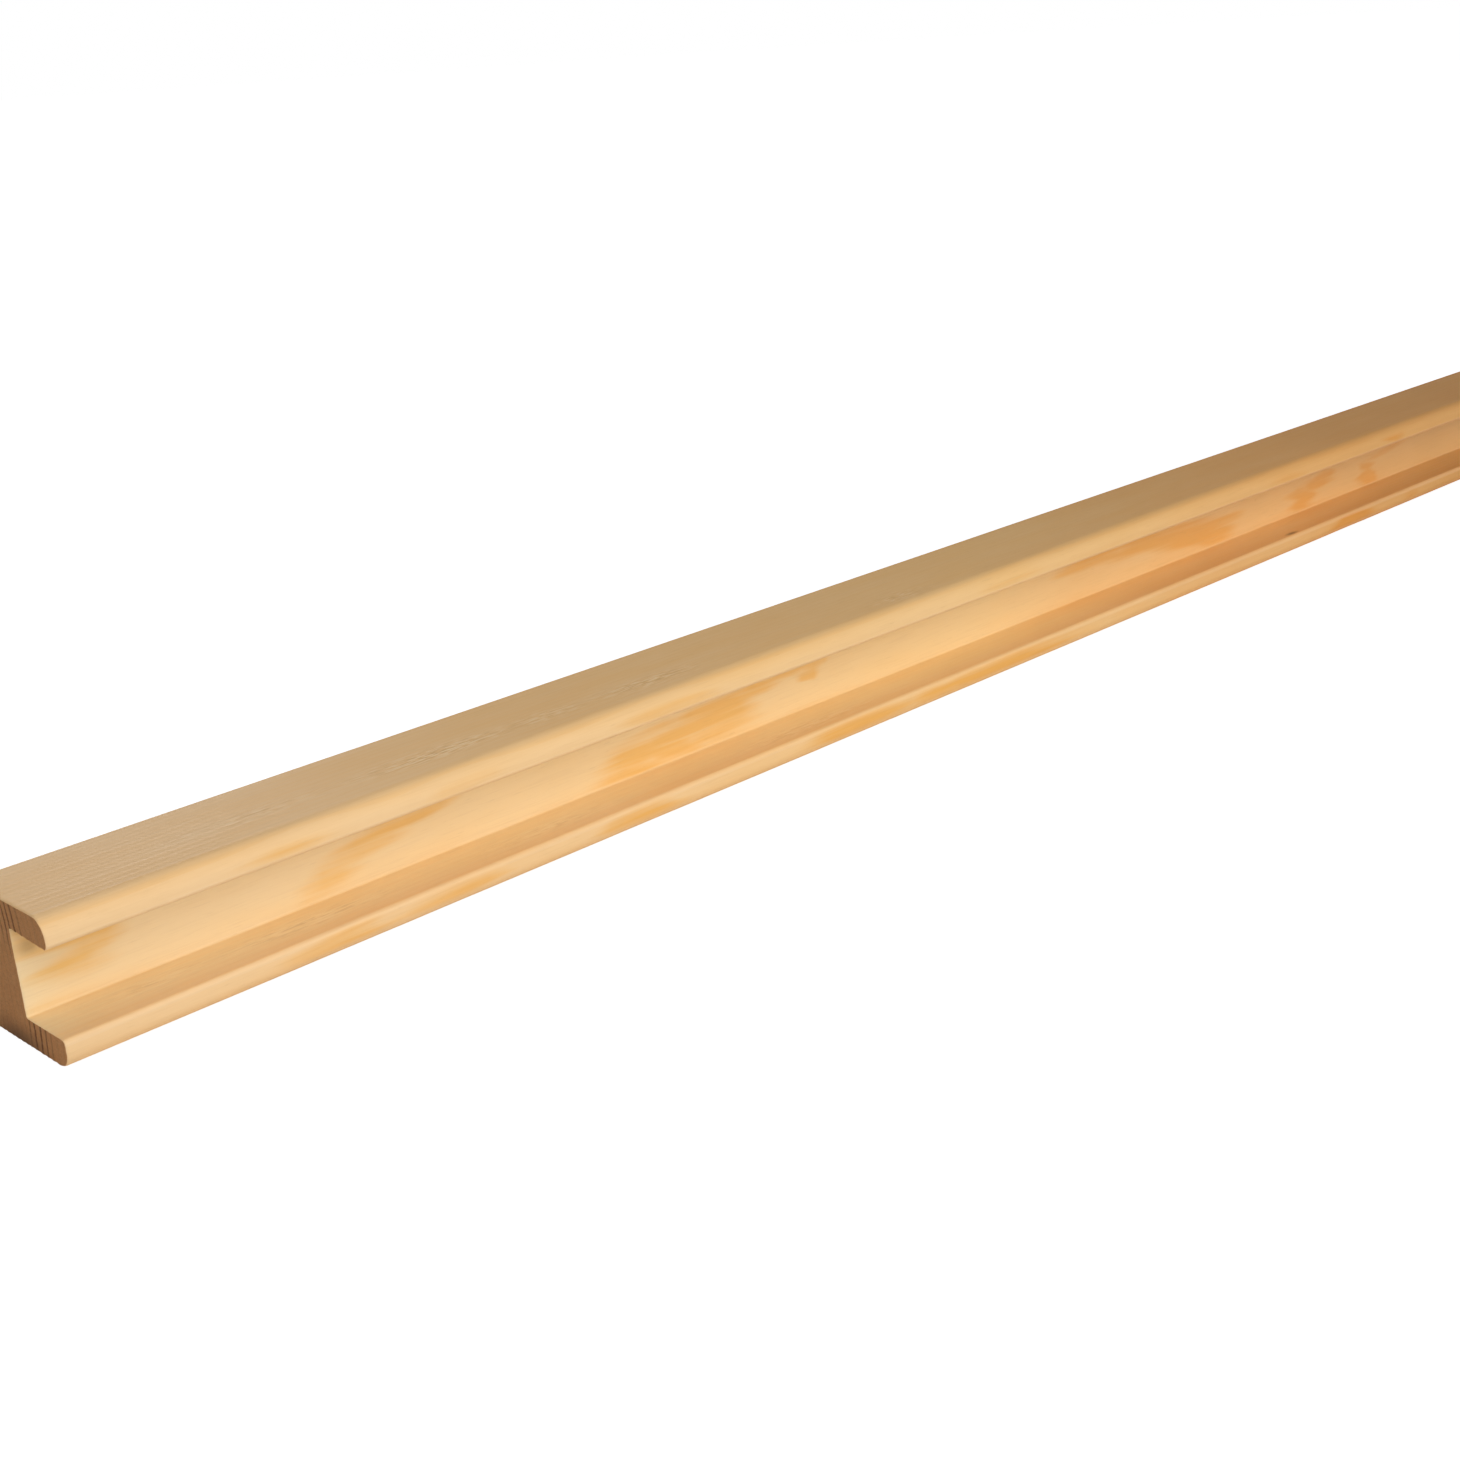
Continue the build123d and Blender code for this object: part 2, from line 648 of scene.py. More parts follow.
    def quads(self, stations: int) -> tuple[np.ndarray, np.ndarray]:
        """Numbers the corners of every face, long faces first, then the near and the far end.

        Args:
            stations: how many sections there are along the length.

        Returns:
            Four corner numbers a face, turned outwards, and each face's cut.
        """
        around = self.around
        grid = np.arange(stations * around).reshape(stations, around)
        turned = np.roll(grid, -1, axis=1)
        long_faces = np.stack([grid[:-1], turned[:-1], turned[1:], grid[1:]], axis=-1).reshape(-1, 4)
        faces = [long_faces]
        inner = (self.round_steps - 1) * (self.through_steps - 1)
        for end, first in enumerate((0, (stations - 1) * around)):
            index = self.end_index(first)
            inside = np.arange(inner).reshape(self.round_steps - 1, -1)
            index[1:-1, 1:-1] = stations * around + end * inner + inside
            patch = np.stack([index[:-1, :-1], index[1:, :-1], index[1:, 1:], index[:-1, 1:]], axis=-1)
            outwards = patch if end else patch[..., ::-1]
            faces.append(outwards.reshape(-1, 4))
        round_cuts = np.full(around, int(Cut.PLANED))
        mouth = self.round_steps + self.through_steps
        round_cuts[mouth - self.mouth_steps:mouth + self.round_steps + self.mouth_steps] = int(Cut.GROOVED)
        cuts = np.full(sum(map(len, faces)), int(Cut.SAWN))
        cuts[:len(long_faces)] = np.tile(round_cuts, stations - 1)
        return np.concatenate(faces), cuts

    def bake_map(self, points: np.ndarray, faces: np.ndarray, cuts: np.ndarray) -> np.ndarray:
        """Lays the skin out flat: the long faces unrolled in rows of equal length, the ends beside them.

        Along a row runs the length, across it the way round the section. All parts have one scale. One gap
        lies before the rows, two lie between them and the ends, and one lies after the ends.

        Args:
            points: all points of the skin.
            faces: four corner numbers a face.
            cuts: each face's cut.

        Returns:
            A place on the unit square for each corner of each face.
        """
        loop = self.loop()
        steps = np.linalg.norm(np.roll(loop, -1, axis=0) - loop, axis=1)
        unrolled = np.concatenate([[0.0], np.cumsum(steps)])
        row_length = (self.high[0] - self.low[0]) / self.bake_rows
        row_pitch = unrolled[-1] + self.bake_gap
        size = max(row_length + self.high[1] - self.low[1] + 4.0 * self.bake_gap, self.bake_rows * row_pitch)
        places = np.empty((*faces.shape, 2))
        planed = cuts != int(Cut.SAWN)
        x = points[faces[planed], 0]
        row = np.clip((x.mean(axis=1) - self.low[0]) // row_length, 0, self.bake_rows - 1)[:, None]
        places[planed, :, 0] = self.bake_gap + x - self.low[0] - row * row_length
        turn = faces[planed] % self.around
        turn[:, 1:3] = turn[:, :1] + 1
        places[planed, :, 1] = self.bake_gap / 2 + row * row_pitch + unrolled[turn]
        ends = points[faces[~planed]]
        beside = row_length + 3.0 * self.bake_gap
        places[~planed, :, 0] = beside + ends[..., 1] - self.low[1]
        far = ends[..., 0].mean(axis=1) > self.middle
        places[~planed, :, 1] = self.bake_gap + ends[..., 2] + far[:, None] * row_pitch
        return places / size

    def build(self) -> bpy.types.Object:
        """Makes the mesh with its map and the values that the finishes read.

        Returns:
            The stick, in place.
        """
        skin, normal, number = self.sides()
        stations = len(number)
        near = self.end_face(skin[0], self.low[0]).reshape(-1, 3)
        far = self.end_face(skin[-1], self.high[0]).reshape(-1, 3)
        ends = np.concatenate([near, far])
        points = np.concatenate([skin.reshape(-1, 3), ends])
        faces, cuts = self.quads(stations)
        mesh = bpy.data.meshes.new(self.name)
        mesh.from_pydata(points.tolist(), [], faces.tolist())
        mesh.polygons.foreach_set("material_index", cuts)
        mesh.polygons.foreach_set("use_smooth", np.ones(len(faces), dtype=bool))
        places = self.bake_map(points, faces, cuts)
        mesh.uv_layers.new(name="OFBake").data.foreach_set("uv", places.ravel())
        torn = np.maximum.reduce([streak.at(skin, self.low[0], self.low[1]) for streak in self.streaks])
        looks = {
            RING_NUMBER: (number.ravel(), self.rings.number(ends)),
            FLAT_SAWN: (np.tile(np.abs(normal[:, 0]) ** self.flat_power, stations), np.zeros(len(ends))),
            CORNER_SHADE_AND_DIRT: (np.tile(self.corner_shade_and_dirt(), stations), np.zeros(len(ends))),
            TAN_AND_PAINTED_LIGHT: (np.tile(self.tan_and_painted_light(), stations), np.zeros(len(ends))),
            TORN: (torn.ravel(), np.zeros(len(ends))),
        }
        for name, values in looks.items():
            mesh.attributes.new(name, "FLOAT", "POINT").data.foreach_set("value", np.concatenate(values))
        mesh.set_sharp_from_angle(angle=math.radians(self.sharp_deg))
        mesh.update()
        piece = bpy.data.objects.new(self.name, mesh)
        bpy.context.collection.objects.link(piece)
        return piece

    def corner_shade_and_dirt(self) -> np.ndarray:
        """Gives the painted shade in the groove's inner corners and the dirt on the back edges: a bell round
        each of them.

        Returns:
            From 0 on a clean face to 1 in a corner, for each point of the loop.
        """
        points = self.section.outline()[0]
        middles = points[np.arange(len(Corner)) * self.section.arc_steps + self.section.arc_steps // 2]
        darkened_corners = [Corner.BACK_FOOT, Corner.BACK_HEAD, Corner.GROOVE_HEAD, Corner.GROOVE_FOOT]
        gap = np.linalg.norm(self.loop()[:, None] - middles[darkened_corners][None], axis=-1).min(axis=1)
        return np.exp(-(gap / self.corner_shade_and_dirt_width) ** 2)

    def tan_and_painted_light(self) -> np.ndarray:
        """Gives how far daylight has tanned the wood: fully outside, fading in the first part of the groove,
        where the paler wood is painted light.

        Returns:
            From 0 in the groove to 1 outside, for each point of the loop.
        """
        tan = np.ones(self.around)
        groove = slice(self.round_steps + self.through_steps, 2 * self.round_steps + self.through_steps)
        tan[groove] = 1.0 - smooth_step(0.0, self.painted_light_reach, self.loop()[groove, 0] - self.low[1])
        return tan

    def dress(self, piece: bpy.types.Object) -> None:
        """Gives the stick its finishes, one for each cut, and ties it to the frame.

        Args:
            piece: the stick from build.
        """
        finishes = {
            Cut.PLANED: PlanedPine(),
            # The groove's cutters burnish the wood, so it shines more
            Cut.GROOVED: PlanedPine(name="burnished pine", sheen=0.6),
            Cut.SAWN: SawnEndGrain(),
        }
        for cut in Cut:
            piece.data.materials.append(finishes[cut].material())
        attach(piece, "root")
        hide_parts("moulding")


@dataclass(frozen=True)
class GrainNoise:
    """A cloudy pattern: the size of its clouds along each axis in millimetres, and its fine detail."""

    size: tuple[float, float, float]
    detail: float

    def on(self, tree: Tree, place: Socket) -> Socket:
        """Reads the pattern.

        Args:
            tree: the material's tree.
            place: object coordinates.

        Returns:
            Its value, mostly between 0.3 and 0.7.
        """
        scale = [side * MM for side in self.size]
        sized = add_node(tree, "Mapping", {"Vector": place, "Scale": scale}, vector_type="TEXTURE").outputs[0]
        return add_node(tree, "TexNoise", {"Vector": sized, "Scale": 1.0, "Detail": self.detail}).outputs[0]


@dataclass(frozen=True)
class GrainMark:
    """Fine marks in one colour, which come out where a pattern goes from the start value to the full one."""

    colour: str
    start: float
    full: float
    most: float

    def over(self, tree: Tree, pattern: Socket, wood: Socket, within: Socket | float = 1.0) -> Socket:
        """Lays the marks over the wood.

        Args:
            tree: the material's tree.
            pattern: the pattern that they follow.
            wood: colour of the wood.
            within: share of the marks that shows at each place.

        Returns:
            The colour with the marks.
        """
        marks = add_node(
            tree, "MapRange",
            {"Value": pattern, "From Min": self.start, "From Max": self.full, "To Max": self.most},
        ).outputs[0]
        share = add_node(tree, "Math", {0: marks, 1: within}, operation="MULTIPLY").outputs[0]
        return add_node(tree, "Mix", {0: share, 6: wood, 7: linear(self.colour)}, data_type="RGBA").outputs[2]


@dataclass(frozen=True)
class Spot:
    """A knot, a painted shadow or a darker patch at one place in the wood: its colour, its middle and half
    sizes in millimetres.

    It is strongest in its core, which is a share of its size, and ends at its rim.
    """

    colour: str
    centre: tuple[float, float, float]
    size: tuple[float, float, float]
    core_share: float
    most: float

    def over(self, tree: Tree, place: Socket, wood: Socket) -> Socket:
        """Lays the spot over the wood.

        Args:
            tree: the material's tree.
            place: object coordinates.
            wood: colour of the wood.

        Returns:
            The colour with the spot.
        """
        centre, size = ([side * MM for side in sides] for sides in (self.centre, self.size))
        from_centre = add_node(
            tree, "Mapping", {"Vector": place, "Location": centre, "Scale": size}, vector_type="TEXTURE"
        ).outputs[0]
        reach = add_node(tree, "VectorMath", {0: from_centre}, operation="LENGTH").outputs["Value"]
        share = add_node(
            tree, "MapRange",
            {"Value": reach, "From Min": self.core_share, "To Min": self.most, "To Max": 0.0},
            interpolation_type="SMOOTHSTEP",
        ).outputs[0]
        return add_node(tree, "Mix", {0: share, 6: wood, 7: linear(self.colour)}, data_type="RGBA").outputs[2]


@dataclass(frozen=True)
class PineFinish:
    """What all cuts of the wood share: a name, and the season of the year that each place shows.

    The spans are parts of a year: latewood rises over the first one and stops over the second.
    """

    name: str
    wander: GrainNoise
    ragged_rings: float
    late_rise: tuple[float, float]
    late_stop: tuple[float, float]
    stop_curve: str

    def season(self, tree: Tree, wander: Socket) -> tuple[Socket, Socket]:
        """Finds the season from the ring number, ragged along the fibres.

        Args:
            tree: the material's tree.
            wander: the pattern that makes it ragged.

        Returns:
            The slow rise of latewood over the year, and its sharp stop at the year's end.
        """
        ring = add_node(tree, "Attribute", attribute_name=RING_NUMBER).outputs["Fac"]
        spread = self.ragged_rings
        ragged = add_node(
            tree, "Math", {0: wander, 1: spread, 2: -spread / 2}, operation="MULTIPLY_ADD"
        ).outputs[0]
        year = add_node(tree, "Math", {0: ring, 1: ragged}, operation="ADD").outputs[0]
        season = add_node(tree, "Math", {0: year}, operation="FRACT").outputs[0]
        (start, full), (last, end) = self.late_rise, self.late_stop
        rise = add_node(
            tree, "MapRange", {"Value": season, "From Min": start, "From Max": full},
            interpolation_type="SMOOTHSTEP",
        ).outputs[0]
        stop = add_node(
            tree, "MapRange",
            {"Value": season, "From Min": last, "From Max": end, "To Min": 1.0, "To Max": 0.0},
            interpolation_type=self.stop_curve,
        ).outputs[0]
        return rise, stop


@dataclass(frozen=True)
class PlanedPine(PineFinish):
    """Pine planed by machine: pale earlywood, orange latewood, fine fibres and a soft sheen.

    Colours run from the pale sapwood at the near end to the amber of the far half; the darkening along the
    way is partly painted shade for the light falling off.
    """

    name: str = "planed pine"
    wander: GrainNoise = GrainNoise((38.0, 1.6, 1.6), 2.0)
    ragged_rings: float = 0.22
    late_rise: tuple[float, float] = (0.38, 0.8)
    late_stop: tuple[float, float] = (0.93, 1.0)
    stop_curve: str = "SMOOTHSTEP"

    # Latewood is streaked along the fibres. On edge grain it blends into one tone, paler in the groove as
    # painted light
    streak_span: tuple[float, float] = (0.32, 0.68)
    streak_gain: tuple[float, float] = (0.72, 1.2)
    edge_grain: tuple[float, float] = (0.1, 0.18)
    edge_grain_rings: float = 0.14
    mottle: GrainNoise = GrainNoise((26.0, 5.0, 5.0), 1.0)
    mottle_span: tuple[float, float] = (0.3, 0.7)
    mottle_gain: tuple[float, float] = (-0.06, 0.1)

    # Sapwood, straw, honey and amber, each with the X in metres where it is pure. Their darkening towards the
    # far end is partly painted shade
    tones: tuple[tuple[str, float], ...] = (
        ("#F3D8A8", -0.48), ("#F5D59A", -0.24), ("#EDBF7C", -0.09), ("#DDAE6B", 0.03),
    )
    cloud: GrainNoise = GrainNoise((70.0, 16.0, 16.0), 1.0)
    cloud_drift: float = 0.12
    # Tints the tanned outside; the groove, left paler, is painted light
    tan_and_painted_light_tint: str = "#F9EDE7"
    latewood_tint: str = "#FAE2AE"

    # Torn fibres get a painted highlight on one side and darker brown marks on the other
    dash: GrainNoise = GrainNoise((3.4, 0.55, 0.55), 2.0)
    torn_marks: tuple[GrainMark, ...] = (
        GrainMark("#FFEBC4", 0.52, 0.62, 0.6), GrainMark(FIBRE_BROWN, 0.48, 0.38, 0.4),
    )

    # Real fibres and resin ducts are too fine to show, so both are drawn several times as coarse
    fibre: GrainNoise = GrainNoise((9.0, 0.32, 0.32), 3.0)
    fibre_marks: GrainMark = GrainMark(FIBRE_BROWN, 0.5, 0.8, 0.09)
    duct: GrainNoise = GrainNoise((3.2, 0.34, 0.34), 0.0)
    duct_marks: GrainMark = GrainMark("#8A5A2E", 0.74, 0.86, 0.07)
    # Painted shade in the groove's inner corners, and dirt on the back edges
    corner_shade_and_dirt_share: float = 0.1
    knot: Spot = Spot("#6E4320", (-92.5, -12.2, 5.8), (4.8, 1.3, 2.2), 0.09, 0.7)
    # Painted shadow of the lip on the groove's wall, just inside the near end
    painted_lip_shadow: Spot = Spot("#94692A", (-497.2, -0.5, 18.6), (3.6, 3.0, 2.3), 0.1, 0.42)

    # Latewood is denser and planes smoother
    early_roughness: float = 0.64
    late_roughness: float = 0.54
    ior: float = 1.5
    sheen: float = 0.1
    bump_depth: float = 0.035

    def latewood(self, tree: Tree, place: Socket, tan: Socket) -> tuple[Socket, Socket]:
        """Works out the latewood from the season and from the way that the rings meet the face.

        Args:
            tree: the material's tree.
            place: object coordinates.
            tan: how much daylight has tanned the wood; where it is low, the paler groove is painted light.

        Returns:
            The latewood in the wood, and how much of it shows.
        """
        flat = add_node(tree, "Attribute", attribute_name=FLAT_SAWN).outputs["Fac"]
        wander = self.wander.on(tree, place)
        rise, stop = self.season(tree, wander)
        (low, high), (least, most) = self.streak_span, self.streak_gain
        streaks = add_node(
            tree, "MapRange",
            {"Value": wander, "From Min": low, "From Max": high, "To Min": least, "To Max": most},
        ).outputs[0]
        risen = add_node(tree, "Math", {0: rise, 1: streaks}, operation="MULTIPLY").outputs[0]
        late = add_node(tree, "Math", {0: risen, 1: stop}, operation="MULTIPLY").outputs[0]
        # Edge grain is paler in the groove, as painted light
        in_groove, outside = self.edge_grain
        between = add_node(
            tree, "MapRange", {"Value": tan, "To Min": in_groove, "To Max": outside}
        ).outputs[0]
        blended = add_node(
            tree, "Math", {0: late, 1: self.edge_grain_rings, 2: between}, operation="MULTIPLY_ADD"
        ).outputs[0]
        even = add_node(tree, "Mix", {0: flat, 2: blended, 3: late}).outputs[0]
        mottle = self.mottle.on(tree, place)
        (low, high), (least, most) = self.mottle_span, self.mottle_gain
        mottled = add_node(
            tree, "MapRange",
            {"Value": mottle, "From Min": low, "From Max": high, "To Min": least, "To Max": most},
        ).outputs[0]
        shown = add_node(tree, "Math", {0: even, 1: mottled}, operation="ADD", use_clamp=True).outputs[0]
        return late, shown

    def clean_wood(self, tree: Tree, place: Socket, tan: Socket, late: Socket) -> Socket:
        """Runs through the tones from sapwood near to heartwood far, and tints tanned wood and latewood,
        leaving the groove paler as painted light.

        Args:
            tree: the material's tree.
            place: object coordinates.
            tan: how much daylight has tanned the wood; where it is low, the paler groove is painted light.
            late: how much latewood shows.

        Returns:
            The colour of the clean wood.
        """
        along = add_node(tree, "SeparateXYZ", {0: place}).outputs[0]
        cloud, drift = self.cloud.on(tree, place), self.cloud_drift
        cloudy = add_node(
            tree, "Math", {0: cloud, 1: drift, 2: -drift / 2}, operation="MULTIPLY_ADD"
        ).outputs[0]
        drifted = add_node(tree, "Math", {0: along, 1: cloudy}, operation="ADD").outputs[0]
        wood = linear(self.tones[0][0])
        for (_, start), (tone, end) in zip(self.tones, self.tones[1:]):
            share = add_node(
                tree, "MapRange", {"Value": drifted, "From Min": start, "From Max": end}
            ).outputs[0]
            wood = add_node(tree, "Mix", {0: share, 6: wood, 7: linear(tone)}, data_type="RGBA").outputs[2]
        # Tan tint outside, leaving the groove paler as painted light, then the latewood tint
        for share, tint in ((tan, self.tan_and_painted_light_tint), (late, self.latewood_tint)):
            wood = add_node(
                tree, "Mix", {0: share, 6: wood, 7: linear(tint)}, data_type="RGBA", blend_type="MULTIPLY"
            ).outputs[2]
        return wood

    def material(self) -> bpy.types.Material:
        """Makes the finish: wood, torn fibres, fibres, ducts, painted corner shade, dirt, pin knot, painted
        lip shadow.

        Returns:
            The material.
        """
        material, tree = empty_material(self.name)
        place = add_node(tree, "TexCoord").outputs["Object"]
        corner_shade_and_dirt, tan, torn = (
            add_node(tree, "Attribute", attribute_name=look).outputs["Fac"] for look in (CORNER_SHADE_AND_DIRT, TAN_AND_PAINTED_LIGHT, TORN)
        )
        late, late_shown = self.latewood(tree, place, tan)
        wood = self.clean_wood(tree, place, tan, late_shown)
        dashes = self.dash.on(tree, place)
        for marks in self.torn_marks:
            wood = marks.over(tree, dashes, wood, torn)
        fibres = self.fibre.on(tree, place)
        wood = self.fibre_marks.over(tree, fibres, wood)
        wood = self.duct_marks.over(tree, self.duct.on(tree, place), wood)
        # Painted shade in the groove's inner corners, and dirt on the back edges, in fibre brown
        corner_shade_and_dirt_mix = add_node(tree, "Math", {0: corner_shade_and_dirt, 1: self.corner_shade_and_dirt_share}, operation="MULTIPLY").outputs[0]
        wood = add_node(tree, "Mix", {0: corner_shade_and_dirt_mix, 6: wood, 7: linear(FIBRE_BROWN)}, data_type="RGBA").outputs[2]
        # The pin knot, and the painted shadow of the lip at the near end
        for spot in (self.knot, self.painted_lip_shadow):
            wood = spot.over(tree, place, wood)
        rough = add_node(
            tree, "MapRange", {"Value": late, "To Min": self.early_roughness, "To Max": self.late_roughness}
        ).outputs[0]
        bump = add_node(
            tree, "Bump", {"Height": fibres, "Distance": self.bump_depth * MM, "Strength": 1.0}
        ).outputs[0]
        shader = add_node(
            tree, "BsdfPrincipled",
            {
                "Base Color": wood, "Roughness": rough, "Normal": bump,
                "IOR": self.ior, "Specular IOR Level": self.sheen,
            },
        )
        add_node(tree, "OutputMaterial", {"Surface": shader.outputs[0]})
        return material


@dataclass(frozen=True)
class SawnEndGrain(PineFinish):
    """Pine cut across by a saw: open fibre ends drink the light, so it is brown and matt, with dark rings."""

    name: str = "sawn end grain"
    wander: GrainNoise = GrainNoise((2.6, 2.6, 2.6), 2.0)
    ragged_rings: float = 0.3
    late_rise: tuple[float, float] = (0.5, 0.85)
    late_stop: tuple[float, float] = (0.94, 1.0)
    stop_curve: str = "LINEAR"
    early: str = "#DA9B63"
    late: str = SAWN_BROWN

    # Rings stand out where the saw cut cleanly, round these depths and heights, and blur where it tore
    clean_cuts: tuple[tuple[float, float], ...] = ((-1.0, 24.0), (-4.4, 3.0))
    clean_size: tuple[float, float] = (4.2, 6.0)
    clear_span: tuple[float, float] = (0.4, 1.3)
    blurred_share: float = 0.1

    # Real rays and open fibre ends are too fine to show, so both are drawn several times as coarse
    ray: GrainNoise = GrainNoise((5.0, 3.4, 0.28), 1.0)
    ray_marks: GrainMark = GrainMark("#E3AE7A", 0.5, 0.75, 0.35)
    pore: GrainNoise = GrainNoise((0.3, 0.3, 0.3), 2.0)
    pore_marks: GrainMark = GrainMark(SAWN_BROWN, 0.45, 0.75, 0.3)
    # Darker towards the foot of the near end's face
    darker_foot: Spot = Spot("#62462D", (-500.0, 4.0, 0.0), (50.0, 15.0, 5.5), 0.0, 0.78)
    roughness: float = 0.8
    sheen: float = 0.2
    bump_depth: float = 0.05

    def clear(self, tree: Tree, place: Socket) -> Socket:
        """Shows the rings by the distance across the end to the nearest clean cut, in clean sizes.

        Args:
            tree: the material's tree.
            place: object coordinates.

        Returns:
            From the blurred share to 1, where the rings are clear.
        """
        wide, tall = self.clean_size
        gaps = []
        for depth, height in self.clean_cuts:
            middle, size = (0.0, depth * MM, height * MM), (1.0, wide * MM, tall * MM)
            from_cut = add_node(
                tree, "Mapping", {"Vector": place, "Location": middle, "Scale": size}, vector_type="TEXTURE"
            ).outputs[0]
            across = add_node(
                tree, "VectorMath", {0: from_cut, 1: (0.0, 1.0, 1.0)}, operation="MULTIPLY"
            ).outputs[0]
            gaps.append(add_node(tree, "VectorMath", {0: across}, operation="LENGTH").outputs["Value"])
        nearest = gaps[0]
        for gap in gaps[1:]:
            nearest = add_node(tree, "Math", {0: gap, 1: nearest}, operation="MINIMUM").outputs[0]
        near, far = self.clear_span
        return add_node(
            tree, "MapRange",
            {
                "Value": nearest, "From Min": near, "From Max": far,
                "To Min": 1.0, "To Max": self.blurred_share,
            },
        ).outputs[0]

    def material(self) -> bpy.types.Material:
        """Makes the finish: rings, then rays, open fibre ends and the darkening towards the foot.

        Returns:
            The material.
        """
        material, tree = empty_material(self.name)
        place = add_node(tree, "TexCoord").outputs["Object"]
        rise, stop = self.season(tree, self.wander.on(tree, place))
        late = add_node(tree, "Math", {0: rise, 1: stop}, operation="MULTIPLY").outputs[0]
        shown = add_node(tree, "Math", {0: late, 1: self.clear(tree, place)}, operation="MULTIPLY").outputs[0]
        wood = add_node(
            tree, "Mix", {0: shown, 6: linear(self.early), 7: linear(self.late)}, data_type="RGBA"
        ).outputs[2]
        wood = self.ray_marks.over(tree, self.ray.on(tree, place), wood)
        pores = self.pore.on(tree, place)
        wood = self.pore_marks.over(tree, pores, wood)
        wood = self.darker_foot.over(tree, place, wood)
        bump = add_node(
            tree, "Bump", {"Height": pores, "Distance": self.bump_depth * MM, "Strength": 1.0}
        ).outputs[0]
        shader = add_node(
            tree, "BsdfPrincipled",
            {
                "Base Color": wood, "Roughness": self.roughness, "Normal": bump,
                "Specular IOR Level": self.sheen,
            },
        )
        add_node(tree, "OutputMaterial", {"Surface": shader.outputs[0]})
        return material


@dataclass(frozen=True)
class Softbox:
    """A square lamp that the camera doesn't see: its middle, the point that it faces, its side and its watts.

    A grid on its front narrows it to the spread, in degrees.
    """

    name: str
    place: tuple[float, float, float]
    aim: tuple[float, float, float]
    size: float
    power: float
    spread_deg: float = 180.0

    def hang(self) -> None:
        """Hangs the lamp and turns it to its aim."""
        lamp = bpy.data.lights.new(self.name, "AREA")
        lamp.size = self.size
        lamp.energy = self.power
        lamp.spread = math.radians(self.spread_deg)
        holder = bpy.data.objects.new(self.name, lamp)
        holder.location = self.place
        holder.visible_camera = False
        holder.rotation_euler = (Vector(self.aim) - Vector(self.place)).to_track_quat("-Z", "Y").to_euler()
        bpy.context.collection.objects.link(holder)


